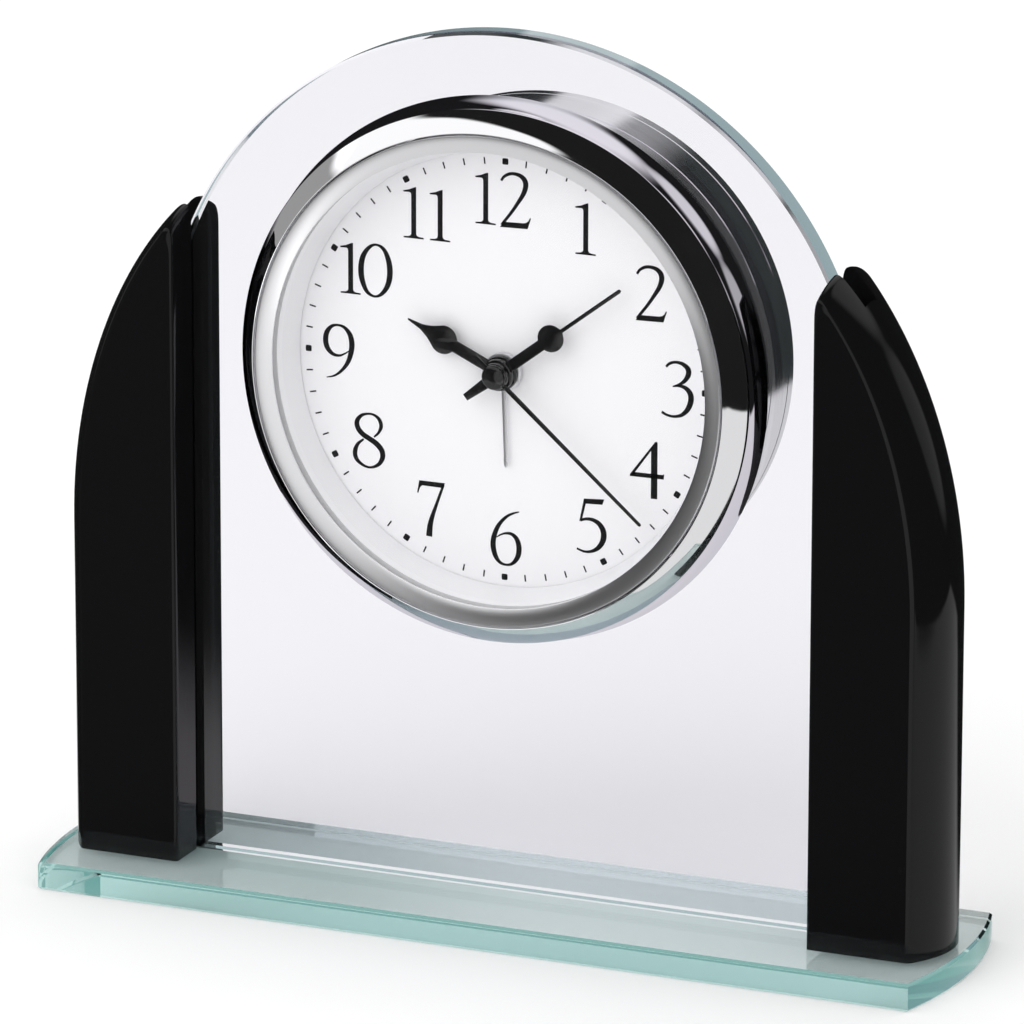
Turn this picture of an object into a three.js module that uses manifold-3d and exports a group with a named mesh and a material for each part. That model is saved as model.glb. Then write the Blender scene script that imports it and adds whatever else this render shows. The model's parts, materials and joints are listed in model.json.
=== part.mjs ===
// A quartz alarm clock held in a glass arch between two black columns on a glass base.
// Millimetres. +Z is up, the dial faces -Y, and the origin is under the middle of the base.
import * as THREE from 'three';
import { mergeVertices } from 'three/addons/utils/BufferGeometryUtils.js';
import Module from 'manifold-3d';

const wasm = await Module();
wasm.setup();

// ---------------------------------------------------------------- driving dimensions
const BASE_T = 5;
const BASE_HALF_LENGTH = 82;
const BASE_HALF_DEPTH = 20.75;
const BASE_END_BULGE = 3;
const GLASS_T = 5;
const GLASS_EDGE = 0.4;
const ARCH_R = 65.4;
const ARCH_Z = 93.3;
const HOLE_R = 45.3;

const COLUMN_INNER_X = 59.5;
const COLUMN_FACE_X = 78.2;
const COLUMN_HALF_DEPTH = 10.8;
const COLUMN_BULGE = 4.4;
const COLUMN_EDGE = 0.8;
const OGIVE_Z = 65;
const OGIVE_RISE = 70;
const OGIVE_RUN = 45;
const SLOT_HALF = 2.8;
const SLOT_X = 65.8;

const HEAD_Z = 99.6;
const CASE_R = 44.2;
const CASE_WALL = 1.2;
const COVER_R = 42.7;
const DIAL_Y = -3.2;
const COVER_Y = 23.4;
const RING_SIDES = 48;

// Places of the arbors behind the dial, seen from the front, measured from the dial's centre.
const THIRD_AT = polar(12.24, 160);
const REVERSE_AT = polar(9.6, -15);
const TIME_AT = offset(REVERSE_AT, polar(9.6, -20));
const ALARM_AT = polar(13.2, 30);
const INTERMEDIATE_AT = polar(10.5, 85);
const ROTOR_AT = offset(INTERMEDIATE_AT, polar(10.08, 120));
const COVER_SCREWS = [polar(38.5, 90), polar(38.5, 198), polar(38.5, -18)];
const BATTERY_Z = -20.6;

// Where the hands stand, in degrees clockwise from the twelve.
const HOUR_ANGLE = -65.5;
const MINUTE_ANGLE = 52.5;
const SECOND_ANGLE = 130.9;
const ALARM_ANGLE = 178;

// ---------------------------------------------------------------- materials
const material = (color, roughness, metalness, opacity = 1) => new THREE.MeshStandardMaterial({
  color, roughness, metalness, opacity, transparent: opacity < 1,
});
const GLASS = material('#d6ebe8', 0.03, 0, 0.25);
const LENS_GLASS = material('#f4f8f8', 0.03, 0, 0.15);
const BLACK_LACQUER = material('#08080a', 0.08, 0);
const CHROME = material('#d9dadd', 0.06, 1);
const SATIN = material('#a8a9ad', 0.35, 1);
const WHITE = material('#f3f2f6', 0.6, 0);
const BLACK_PAINT = material('#0c0c0d', 0.25, 0);
const BLACK_PLASTIC = material('#161618', 0.45, 0);
const GREY_PLASTIC = material('#8b8d90', 0.5, 0);
const NATURAL_PLASTIC = material('#ece7d8', 0.5, 0);
const RUBBER = material('#dfe3e2', 0.7, 0, 0.6);
const STEEL = material('#9fa2a6', 0.3, 1);
const BRASS = material('#c9a24f', 0.3, 1);
const COPPER = material('#b4622d', 0.35, 1);
const BOARD = material('#2e6a45', 0.5, 0);
const CELL = material('#20242c', 0.35, 0);

// ---------------------------------------------------------------- helpers
function polar(radius, degrees) {
  const angle = THREE.MathUtils.degToRad(degrees);
  return [radius * Math.cos(angle), radius * Math.sin(angle)];
}

function offset(a, b) {
  return [a[0] + b[0], a[1] + b[1]];
}

// Turns any closed geometry into a solid whose faces point out.
function solid(geometry) {
  const bare = geometry.clone();
  bare.deleteAttribute('normal');
  bare.deleteAttribute('uv');
  const merged = mergeVertices(bare, 1e-4);
  const place = merged.attributes.position;
  const index = merged.index.array;
  const kept = [];
  let volume = 0;
  const a = new THREE.Vector3();
  const b = new THREE.Vector3();
  const c = new THREE.Vector3();
  for (let i = 0; i < index.length; i += 3) {
    const [p, q, r] = [index[i], index[i + 1], index[i + 2]];
    if (p === q || q === r || r === p) continue;
    kept.push(p, q, r);
    a.fromBufferAttribute(place, p);
    b.fromBufferAttribute(place, q);
    c.fromBufferAttribute(place, r);
    volume += a.dot(b.cross(c));
  }
  if (volume < 0) kept.reverse();
  return new wasm.Manifold(new wasm.Mesh({
    numProp: 3,
    vertProperties: new Float32Array(place.array),
    triVerts: new Uint32Array(kept),
  }));
}

function toGeometry(body) {
  const raw = body.getMesh();
  const geometry = new THREE.BufferGeometry();
  geometry.setAttribute('position', new THREE.BufferAttribute(new Float32Array(raw.vertProperties), 3));
  geometry.setIndex(new THREE.BufferAttribute(new Uint32Array(raw.triVerts), 1));
  geometry.computeVertexNormals();
  return geometry;
}

function box(x0, x1, y0, y1, z0, z1) {
  const geometry = new THREE.BoxGeometry(x1 - x0, y1 - y0, z1 - z0);
  geometry.translate((x0 + x1) / 2, (y0 + y1) / 2, (z0 + z1) / 2);
  return solid(geometry);
}

// A box in the clock head, with x and z measured from the dial's centre.
function headBox(x0, x1, y0, y1, z0, z1) {
  return box(x0, x1, y0, y1, HEAD_Z + z0, HEAD_Z + z1);
}

// A ring or disc turned about the line through (at) along Y; the profile is a closed loop of [radius, y].
function turned(profile, sides = RING_SIDES, at = [0, 0]) {
  const loop = [...profile, profile[0]].map(([r, y]) => new THREE.Vector2(r, y));
  const geometry = new THREE.LatheGeometry(loop, sides);
  geometry.translate(at[0], 0, HEAD_Z + at[1]);
  return solid(geometry);
}

function ring(inner, outer, y0, y1, sides = RING_SIDES, at = [0, 0]) {
  return turned([[inner, y0], [outer, y0], [outer, y1], [inner, y1]], sides, at);
}

function rod(radius, y0, y1, sides = 12, at = [0, 0]) {
  return ring(0, radius, y0, y1, sides, at);
}

// A flat outline in the plane of the dial, given as [x, z] from the dial's centre, from y0 back to y1.
function plate(outline, y0, y1, holes = []) {
  const shape = new THREE.Shape(outline.map(([x, z]) => new THREE.Vector2(x, z)));
  for (const hole of holes) {
    shape.holes.push(new THREE.Path(hole.map(([x, z]) => new THREE.Vector2(x, z))));
  }
  const geometry = new THREE.ExtrudeGeometry(shape, { depth: y1 - y0, bevelEnabled: false });
  geometry.rotateX(Math.PI / 2);
  geometry.translate(0, y1, HEAD_Z);
  return solid(geometry);
}

function circle(radius, sides, at = [0, 0]) {
  const points = [];
  for (let i = 0; i < sides; i += 1) {
    points.push(offset(at, polar(radius, (360 * i) / sides)));
  }
  return points;
}

// One gear, its teeth drawn with clearance so that a meshed pair turns freely.
function gear(teeth, module, y0, y1, bore, at, phase) {
  const pitch = (teeth * module) / 2;
  const small = teeth < 12;
  const tip = pitch + module * (small ? 0.75 : 0.7);
  const root = pitch - module * (small ? 1.05 : 1.1);
  const step = 360 / teeth;
  const halfTip = step * (small ? 0.07 : 0.08);
  const halfPitch = step * 0.2;
  const halfRoot = step * (small ? 0.2 : 0.29);
  const points = [];
  for (let i = 0; i < teeth; i += 1) {
    const middle = phase + i * step;
    points.push(offset(at, polar(root, middle - halfRoot)));
    if (small) points.push(offset(at, polar(pitch, middle - halfPitch)));
    points.push(offset(at, polar(tip, middle - halfTip)));
    points.push(offset(at, polar(tip, middle + halfTip)));
    if (small) points.push(offset(at, polar(pitch, middle + halfPitch)));
    points.push(offset(at, polar(root, middle + halfRoot)));
  }
  return plate(points, y0, y1, bore > 0 ? [circle(bore, 12, at).reverse()] : []);
}

// The turn that puts a gap of the driven gear where the driver has a tooth.
function meshPhase(driverTeeth, driverPhase, driverAt, drivenTeeth, drivenAt) {
  const dx = drivenAt[0] - driverAt[0];
  const dz = drivenAt[1] - driverAt[1];
  const line = THREE.MathUtils.radToDeg(Math.atan2(dz, dx));
  const lead = (line - driverPhase) * (driverTeeth / drivenTeeth);
  return line + 180 + 180 / drivenTeeth + lead;
}

function unite(...bodies) {
  return bodies.reduce((whole, body) => whole.add(body));
}

function cut(body, ...tools) {
  return tools.reduce((rest, tool) => rest.subtract(tool), body);
}

const clock = new THREE.Group();
clock.name = 'arch_alarm_clock';

function put(name, body, look) {
  const piece = new THREE.Mesh(toGeometry(body), look);
  piece.name = name;
  clock.add(piece);
}

// ---------------------------------------------------------------- glass base
function glassPlate(shape, thickness) {
  return new THREE.ExtrudeGeometry(shape, {
    depth: thickness - 2 * GLASS_EDGE,
    bevelEnabled: true,
    bevelThickness: GLASS_EDGE,
    bevelSize: GLASS_EDGE,
    bevelOffset: -GLASS_EDGE,
    bevelSegments: 1,
  });
}

function baseOutline() {
  const half = BASE_HALF_DEPTH;
  const radius = (half * half + BASE_END_BULGE * BASE_END_BULGE) / (2 * BASE_END_BULGE);
  const centre = BASE_HALF_LENGTH + BASE_END_BULGE - radius;
  const sweep = Math.asin(half / radius);
  const steps = 12;
  const points = [];
  for (let side = 1; side >= -1; side -= 2) {
    for (let i = 0; i <= steps; i += 1) {
      const angle = -sweep + (2 * sweep * i) / steps;
      const along = centre + radius * Math.cos(angle);
      points.push(new THREE.Vector2(side * along, side * radius * Math.sin(angle)));
    }
  }
  return new THREE.Shape(points);
}

function makeBase() {
  const geometry = glassPlate(baseOutline(), BASE_T);
  geometry.translate(0, 0, GLASS_EDGE);
  put('base_plate', solid(geometry), GLASS);
}
makeBase();

// ---------------------------------------------------------------- glass arch
function makeArch() {
  const points = [new THREE.Vector2(-ARCH_R, BASE_T), new THREE.Vector2(ARCH_R, BASE_T)];
  const steps = 48;
  for (let i = 0; i <= steps; i += 1) {
    const angle = (Math.PI * i) / steps;
    points.push(new THREE.Vector2(ARCH_R * Math.cos(angle), ARCH_Z + ARCH_R * Math.sin(angle)));
  }
  const shape = new THREE.Shape(points);
  const hole = circle(HOLE_R, RING_SIDES).reverse();
  shape.holes.push(new THREE.Path(hole.map(([x, z]) => new THREE.Vector2(x, HEAD_Z + z))));
  const geometry = glassPlate(shape, GLASS_T);
  geometry.rotateX(Math.PI / 2);
  geometry.translate(0, GLASS_T / 2 - GLASS_EDGE, 0);
  put('arch_panel', solid(geometry), GLASS);
}
makeArch();

// ---------------------------------------------------------------- columns
// Seen from the front a column is half an ogive: straight inside, curved outside and over the top.
function columnProfile(y, inset) {
  const across = 1 - (y / COLUMN_HALF_DEPTH) ** 2;
  const outerX = (z) => {
    const rise = Math.max(0, z - OGIVE_Z) / OGIVE_RISE;
    const bulge = COLUMN_BULGE - 2 * rise * rise;
    return COLUMN_FACE_X + bulge * across - OGIVE_RUN * (1 - Math.sqrt(1 - rise * rise)) - inset;
  };
  const innerX = COLUMN_INNER_X + inset;
  let low = OGIVE_Z;
  let high = OGIVE_Z + OGIVE_RISE - 0.01;
  for (let i = 0; i < 50; i += 1) {
    const middle = (low + high) / 2;
    if (outerX(middle) > innerX) low = middle;
    else high = middle;
  }
  const top = low - inset;
  const round = 2.6;
  const points = [[outerX(BASE_T), BASE_T]];
  const steps = 10;
  for (let i = 0; i <= steps; i += 1) {
    const z = OGIVE_Z + (top - round - OGIVE_Z) * Math.sin((i / steps) * Math.PI / 2);
    points.push([outerX(z), z]);
  }
  const start = points[points.length - 1];
  for (let i = 1; i <= 4; i += 1) {
    const t = i / 4;
    const x = start[0] * (1 - t) ** 2 + 2 * innerX * t * (1 - t) + innerX * t * t;
    const z = start[1] * (1 - t) ** 2 + 2 * top * t * (1 - t) + (top - 2 * round) * t * t;
    points.push([x, z]);
  }
  points.push([innerX, BASE_T]);
  return points;
}

function columnBody(side) {
  const stations = [[-COLUMN_HALF_DEPTH, COLUMN_EDGE], [-COLUMN_HALF_DEPTH + 0.25, 0.25 * COLUMN_EDGE]];
  const flats = COLUMN_HALF_DEPTH - COLUMN_EDGE;
  const steps = 8;
  for (let i = 0; i <= steps; i += 1) stations.push([-flats + (2 * flats * i) / steps, 0]);
  stations.push([COLUMN_HALF_DEPTH - 0.25, 0.25 * COLUMN_EDGE], [COLUMN_HALF_DEPTH, COLUMN_EDGE]);
  const rows = stations.map(([y, inset]) => columnProfile(y, inset).map(([x, z]) => [side * x, y, z]));
  const count = rows[0].length;
  const positions = rows.flat(2);
  const index = [];
  for (let j = 0; j + 1 < rows.length; j += 1) {
    for (let i = 0; i < count; i += 1) {
      const next = (i + 1) % count;
      const [a, b] = [j * count + i, j * count + next];
      const [c, d] = [a + count, b + count];
      index.push(a, c, b, b, c, d);
    }
  }
  for (const row of [0, rows.length - 1]) {
    const outline = rows[row].map(([x, , z]) => new THREE.Vector2(x, z));
    const turn = Math.sign(THREE.ShapeUtils.area(outline)) * (row === 0 ? 1 : -1);
    for (const face of THREE.ShapeUtils.triangulateShape(outline, [])) {
      const corners = face.map((corner) => corner + row * count);
      if (THREE.ShapeUtils.area(face.map((corner) => outline[corner])) * turn < 0) corners.reverse();
      index.push(...corners);
    }
  }
  const geometry = new THREE.BufferGeometry();
  geometry.setAttribute('position', new THREE.Float32BufferAttribute(positions, 3));
  geometry.setIndex(index);
  return solid(geometry);
}

function makeColumn(name, side) {
  const slotEnds = [side * (COLUMN_INNER_X - 5), side * SLOT_X].sort((a, b) => a - b);
  const slot = box(slotEnds[0], slotEnds[1], -SLOT_HALF, SLOT_HALF, 0, OGIVE_Z + OGIVE_RISE);
  put(name, cut(columnBody(side), slot), BLACK_LACQUER);
}
makeColumn('left_column', -1);
makeColumn('right_column', 1);

// ---------------------------------------------------------------- clock head, outside
put('bezel', turned([
  [43.6, -12.0], [43.75, -12.1], [44.95, -11.05], [46.05, -9.95], [47.1, -8.7], [47.2, -8.3],
  [47.35, -6.4], [47.75, -4.5], [48.4, -2.8], [44.6, -2.8], [44.6, -6.3], [43.6, -6.3],
]), CHROME);
put('lens_ring', turned([
  [40.3, -11.5], [43.1, -12.15], [43.3, -12.0], [43.3, -11.1], [40.3, -11.1],
]), SATIN);
put('lens', rod(43.2, -10.8, -9.3, RING_SIDES), LENS_GLASS);
put('rehaut', turned([
  [40.4, -9.0], [42.7, -9.0], [42.7, -3.4], [38.6, -3.4], [38.6, -3.8],
]), WHITE);
put('dial', ring(2.8, 42.6, DIAL_Y, DIAL_Y + 0.5), WHITE);
put('drum_case', ring(CASE_R - CASE_WALL, CASE_R, -6.0, COVER_Y - 1.4), CHROME);
put('panel_gasket', ring(44.5, 45.0, -2.4, 2.4), RUBBER);

// ---------------------------------------------------------------- back cover and battery door
const SWITCH_X = -17.6;
const SWITCH_Z = -3;
const SWITCH_TRAVEL = 4;

function makeBackCover() {
  const disc = turned([
    [0, COVER_Y - 2], [COVER_R, COVER_Y - 2], [COVER_R, COVER_Y - 0.6], [COVER_R - 0.6, COVER_Y], [0, COVER_Y],
  ]);
  const tools = [
    headBox(-28.2, 28.2, COVER_Y - 1.2, COVER_Y + 1, -60, -12.3),
    headBox(-26, 26, COVER_Y - 3, COVER_Y, -28.2, -13.2),
    headBox(
      SWITCH_X - 1.4, SWITCH_X + SWITCH_TRAVEL + 1.4, COVER_Y - 3, COVER_Y + 1, SWITCH_Z - 1.4, SWITCH_Z + 1.4,
    ),
    rod(1.1, COVER_Y - 3, COVER_Y + 1, 12, TIME_AT),
    rod(1.1, COVER_Y - 3, COVER_Y + 1, 12, ALARM_AT),
  ];
  for (const place of COVER_SCREWS) {
    tools.push(rod(1.6, COVER_Y - 3, COVER_Y + 1, 12, place));
    tools.push(rod(2.9, COVER_Y - 1.3, COVER_Y + 1, 12, place));
  }
  for (let i = -2; i <= 2; i += 1) {
    tools.push(headBox(-22, -10, COVER_Y - 3, COVER_Y + 1, 16 + 3 * i - 0.6, 16 + 3 * i + 0.6));
  }
  put('back_cover', cut(disc, ...tools), BLACK_PLASTIC);
}
makeBackCover();

function coverScrew(place) {
  return unite(rod(2.5, COVER_Y - 1.1, COVER_Y - 0.2, 12, place), rod(1.2, 8, COVER_Y - 0.8, 12, place));
}
put('cover_screw_top', coverScrew(COVER_SCREWS[0]), STEEL);
put('cover_screw_left', coverScrew(COVER_SCREWS[1]), STEEL);
put('cover_screw_right', coverScrew(COVER_SCREWS[2]), STEEL);

// The door's lower edge follows the round rim; it slides down and off.
function makeBatteryDoor() {
  const radius = COVER_R - 0.2;
  const half = 27.9;
  const corner = Math.asin(half / radius);
  const points = [[half, -12.6], [-half, -12.6]];
  const steps = 12;
  for (let i = 0; i <= steps; i += 1) {
    const angle = -corner + (2 * corner * i) / steps;
    points.push([radius * Math.sin(angle), -radius * Math.cos(angle)]);
  }
  let door = plate(points, COVER_Y - 1.0, COVER_Y);
  for (let i = 0; i < 4; i += 1) {
    const z = -17 - 2.2 * i;
    door = door.add(headBox(-7, 7, COVER_Y - 0.5, COVER_Y + 0.5, z - 0.5, z + 0.5));
  }
  put('battery_door', door, BLACK_PLASTIC);
}
makeBatteryDoor();

put('alarm_switch', unite(
  headBox(SWITCH_X - 2.4, SWITCH_X + 2.4, COVER_Y - 3.2, COVER_Y - 2.3, SWITCH_Z - 2.6, SWITCH_Z + 2.6),
  headBox(SWITCH_X - 1, SWITCH_X + 1, COVER_Y - 2.6, COVER_Y + 0.6, SWITCH_Z - 1.1, SWITCH_Z + 1.1),
  headBox(SWITCH_X - 2.2, SWITCH_X + 2.2, COVER_Y + 0.3, COVER_Y + 1.8, SWITCH_Z - 2.2, SWITCH_Z + 2.2),
), GREY_PLASTIC);

function knob(radius, height, place) {
  const points = [];
  const ribs = 18;
  for (let i = 0; i < ribs; i += 1) {
    const step = 360 / ribs;
    points.push(offset(place, polar(radius, i * step)));
    points.push(offset(place, polar(radius, (i + 0.5) * step)));
    points.push(offset(place, polar(radius - 0.45, (i + 0.6) * step)));
    points.push(offset(place, polar(radius - 0.45, (i + 0.9) * step)));
  }
  const start = COVER_Y + 0.4;
  const socket = rod(0.95, start - 1, start + height - 1.2, 12, place);
  return cut(plate(points, start, start + height), socket);
}
put('time_set_knob', knob(5, 3.8, TIME_AT), BLACK_PLASTIC);
put('alarm_set_knob', knob(4.4, 3.2, ALARM_AT), BLACK_PLASTIC);

// ---------------------------------------------------------------- movement housing
function frame(outer, inner) {
  const corners = ([x0, x1, z0, z1]) => [[x0, z0], [x1, z0], [x1, z1], [x0, z1]];
  return plate(corners(outer), -1.5, 14.2, [corners(inner).reverse()]);
}

function makeHousing() {
  let body = ring(2.6, 42.5, -2.4, -1.2, 48);
  body = body.add(frame([-28, 28, -29.6, 28], [-26.8, 26.8, -28.4, 26.8]));
  body = body.add(headBox(-27, 27, -1.5, 14.2, -13.1, -11.9));
  for (const pillar of [[-23, 23], [23, 21], [-23, -8]]) {
    body = body.add(rod(1.5, -1.5, 4.3, 12, pillar));
  }
  for (const post of COVER_SCREWS) {
    body = body.add(rod(2.8, -1.5, COVER_Y - 2.3, 12, post));
    body = body.subtract(rod(1.5, 7.5, COVER_Y - 2, 12, post));
  }
  put('movement_housing', body, GREY_PLASTIC);
}
makeHousing();

function makeMiddlePlate() {
  let body = headBox(-26.4, 26.4, 4.6, 5.6, -11.5, 26.4);
  body = body.add(rod(0.8, 0.45, 4.9, 12, REVERSE_AT));
  const holes = [
    rod(1.2, 4, 6, 16), rod(1.1, 4, 6, 12, TIME_AT), rod(1.1, 4, 6, 12, ALARM_AT),
    rod(0.6, 4, 6, 12, THIRD_AT), rod(0.5, 4, 6, 12, ROTOR_AT),
  ];
  put('middle_plate', cut(body, ...holes), NATURAL_PLASTIC);
}
makeMiddlePlate();

function makeMovementCover() {
  let body = headBox(-27.7, 27.7, 14.4, 15.6, -12.8, 27.7);
  body = body.add(rod(0.5, 9.9, 14.7, 12, INTERMEDIATE_AT));
  const holes = [
    rod(0.55, 14, 16, 12), rod(1.1, 14, 16, 12, TIME_AT), rod(1.1, 14, 16, 12, ALARM_AT),
    rod(0.6, 14, 16, 12, THIRD_AT), rod(0.5, 14, 16, 12, ROTOR_AT),
  ];
  put('movement_cover', cut(body, ...holes), NATURAL_PLASTIC);
}
makeMovementCover();

// ---------------------------------------------------------------- battery and contacts
function alongX(profile, sides, y, z) {
  const loop = [...profile, profile[0]].map(([r, x]) => new THREE.Vector2(r, x));
  const geometry = new THREE.LatheGeometry(loop, sides);
  geometry.rotateZ(-Math.PI / 2);
  geometry.translate(0, y, HEAD_Z + z);
  return solid(geometry);
}
put('battery', alongX([
  [0, -24.8], [6.8, -24.8], [7.1, -24.4], [7.1, 24.0], [6.8, 24.4], [2.7, 24.4], [2.7, 25.4], [0, 25.4],
], 24, 7.0, BATTERY_Z), CELL);
put('contact_positive', unite(
  headBox(26.0, 26.5, 2.5, 11.5, BATTERY_Z - 5, BATTERY_Z + 5),
  headBox(25.7, 26.2, 5.5, 8.5, BATTERY_Z - 1.5, BATTERY_Z + 1.5),
), STEEL);
put('contact_negative', unite(
  headBox(-26.5, -26.0, 2.5, 11.5, BATTERY_Z - 5, BATTERY_Z + 5),
  alongX([[0, -26.2], [3.4, -26.2], [2.2, -25.1], [0, -25.1]], 16, 7.0, BATTERY_Z),
), STEEL);

// ---------------------------------------------------------------- electronics
put('circuit_board', headBox(4.5, 26.2, 12.8, 13.8, 10.5, 26.2), BOARD);
put('driver_chip', headBox(19, 24, 11.5, 12.6, 20.8, 25.4), BLACK_PLASTIC);
function upright(radius, x, y, z0, z1) {
  const geometry = new THREE.CylinderGeometry(radius, radius, z1 - z0, 16);
  geometry.rotateX(Math.PI / 2);
  geometry.translate(x, y, HEAD_Z + (z0 + z1) / 2);
  return solid(geometry);
}
put('quartz_crystal', upright(1.0, 23.5, 11.5, 12.2, 18.6), STEEL);
put('buzzer_disc', rod(9.4, 13.0, 13.6, 32, [-16, 16]), BRASS);

function rectangle(x0, x1, z0, z1) {
  return [[x0, z0], [x1, z0], [x1, z1], [x0, z1]];
}
put('stator', plate(rectangle(-9, 22, 15.8, 24.6), 7.6, 8.8, [
  circle(3.0, 24, ROTOR_AT).reverse(),
  rectangle(1.5, 18, 18.2, 21.4).reverse(),
]), STEEL);
put('coil', cut(
  headBox(3, 16.5, 6.0, 10.4, 19.6, 26.3),
  headBox(2, 17.5, 7.3, 9.1, 21.1, 24.9),
), COPPER);

// ---------------------------------------------------------------- going train
// Rotor 6 -> 30, 6 -> 36 seconds wheel; seconds pinion 6 -> 45, 6 -> 48 centre wheel.
const CENTRE = [0, 0];
const SECOND_PHASE = 0;
put('seconds_wheel', unite(
  gear(36, 0.5, 10.2, 11.0, 0, CENTRE, SECOND_PHASE),
  gear(6, 0.48, 8.3, 9.7, 0, CENTRE, SECOND_PHASE),
  rod(0.35, -7.7, 15.0, 12),
  rod(0.9, 9.5, 10.5, 12),
), BRASS);
put('intermediate_wheel', unite(
  gear(30, 0.56, 11.4, 12.2, 0.65, INTERMEDIATE_AT, 0),
  gear(6, 0.5, 10.0, 11.6, 0.65, INTERMEDIATE_AT, meshPhase(36, SECOND_PHASE, CENTRE, 6, INTERMEDIATE_AT)),
), NATURAL_PLASTIC);
put('rotor', unite(
  rod(2.4, 7.2, 9.2, 16, ROTOR_AT),
  rod(0.3, 4.8, 15.0, 12, ROTOR_AT),
  gear(6, 0.56, 11.1, 12.5, 0, ROTOR_AT, meshPhase(30, 0, INTERMEDIATE_AT, 6, ROTOR_AT)),
), BLACK_PLASTIC);
const THIRD_PINION_PHASE = 0;
// Both pairs on the third arbor stand at the same centre distance.
const THIRD_MODULE = (2 * 12.24) / (6 + 48);
put('third_wheel', unite(
  gear(45, 0.48, 8.6, 9.4, 0, THIRD_AT, meshPhase(6, SECOND_PHASE, CENTRE, 45, THIRD_AT)),
  gear(6, THIRD_MODULE, 5.9, 8.8, 0, THIRD_AT, THIRD_PINION_PHASE),
  rod(0.4, 4.8, 15.0, 12, THIRD_AT),
), NATURAL_PLASTIC);
put('centre_wheel', unite(
  gear(48, THIRD_MODULE, 6.0, 6.8, 1.05, CENTRE, meshPhase(6, THIRD_PINION_PHASE, THIRD_AT, 48, CENTRE)),
  ring(1.05, 2.2, 6.5, 7.4, 12),
), NATURAL_PLASTIC);

// ---------------------------------------------------------------- motion work
// Minute pinion 10 -> 30 reverse wheel, 8 -> 32 hour wheel, one turn in twelve; the time knob's
// pinion of 10 turns the reverse wheel.
const MINUTE_PHASE = 0;
const REVERSE_PHASE = meshPhase(10, MINUTE_PHASE, CENTRE, 30, REVERSE_AT);
const REVERSE_PINION_PHASE = 0;
put('minute_pipe', unite(
  gear(10, 0.48, 1.9, 3.9, 0.5, CENTRE, MINUTE_PHASE),
  ring(0.5, 0.9, -6.7, 7.6, 12),
), BRASS);
put('reverse_wheel', unite(
  gear(30, 0.48, 2.3, 3.3, 1.0, REVERSE_AT, REVERSE_PHASE),
  gear(8, 0.48, 0.3, 2.5, 1.0, REVERSE_AT, REVERSE_PINION_PHASE),
), NATURAL_PLASTIC);
put('hour_wheel', unite(
  gear(32, 0.48, 0.5, 1.5, 1.05, CENTRE, meshPhase(8, REVERSE_PINION_PHASE, REVERSE_AT, 32, CENTRE)),
  ring(1.05, 1.5, -5.5, 0.9, 12),
), NATURAL_PLASTIC);
put('time_set_arbor', unite(
  gear(10, 0.48, 1.9, 3.9, 0, TIME_AT, meshPhase(30, REVERSE_PHASE, REVERSE_AT, 10, TIME_AT)),
  rod(0.8, 3.5, COVER_Y + 2.8, 12, TIME_AT),
), NATURAL_PLASTIC);

// ---------------------------------------------------------------- alarm setting
// The knob's pinion of 8 turns the alarm wheel of 40.
put('alarm_wheel', unite(
  gear(40, 0.55, -0.9, 0.1, 1.7, CENTRE, 0),
  ring(1.7, 2.2, -4.3, -0.5, 12),
), NATURAL_PLASTIC);
put('alarm_set_arbor', unite(
  gear(8, 0.55, -0.9, 0.1, 0, ALARM_AT, meshPhase(40, 0, CENTRE, 8, ALARM_AT)),
  rod(0.8, -0.1, COVER_Y + 2.2, 12, ALARM_AT),
), NATURAL_PLASTIC);

// ---------------------------------------------------------------- hands
// A hand is drawn pointing to the twelve as [across, along], then turned clockwise.
function blade(outline, y0, y1, degrees) {
  const angle = THREE.MathUtils.degToRad(degrees);
  const points = outline.map(([u, v]) => [
    u * Math.cos(angle) + v * Math.sin(angle),
    -u * Math.sin(angle) + v * Math.cos(angle),
  ]);
  return plate(points, y0, y1);
}

function mirrored(half) {
  const other = [...half].reverse().map(([u, v]) => [-u, v]);
  return [...half, ...other];
}

function bulb(centre, radius, from, to, steps) {
  const points = [];
  for (let i = 0; i <= steps; i += 1) {
    const angle = THREE.MathUtils.degToRad(from + ((to - from) * i) / steps);
    points.push([radius * Math.sin(angle), centre - radius * Math.cos(angle)]);
  }
  return points;
}

function hand(name, outline, hubRadius, hubFront, hubBack, bladeFront, bore, degrees, look) {
  const body = unite(rod(hubRadius, hubFront, hubBack, 24), blade(outline, bladeFront, bladeFront + 0.3, degrees));
  put(name, cut(body, rod(bore, -20, 20)), look);
}
hand('alarm_hand', mirrored([[0.35, 0], [0.35, 16.6], [0.2, 17]]),
  3.4, -4.5, -3.6, -4.2, 2.3, ALARM_ANGLE, STEEL);
hand('hour_hand', mirrored([
  [1.1, 0], [1.1, 9.4], ...bulb(11.7, 2.55, 25, 115, 6), [1.75, 13.6], [0.95, 14.9], [0.5, 16.2], [0.15, 19.0],
]), 3.1, -5.7, -4.9, -5.4, 1.6, HOUR_ANGLE, BLACK_PAINT);
hand('minute_hand', [
  [0.65, -7.6], [1.0, -2], [1.0, 10.2], ...bulb(12.4, 2.4, 25, 155, 8), [0.35, 14.9], [0.35, 28.3], [0.2, 28.6],
  [-0.2, 28.6], [-0.35, 28.3], [-0.35, 14.9], ...bulb(12.4, 2.4, -155, -25, 8), [-1.0, 10.2], [-1.0, -2],
  [-0.65, -7.6],
], 2.8, -6.9, -6.0, -6.6, 1.0, MINUTE_ANGLE, BLACK_PAINT);
hand('second_hand', mirrored([[0.42, -5], [0.45, 2], [0.3, 35.6], [0.15, 35.9]]),
  2.4, -8.0, -7.2, -7.8, 0.45, SECOND_ANGLE, BLACK_PAINT);
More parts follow.
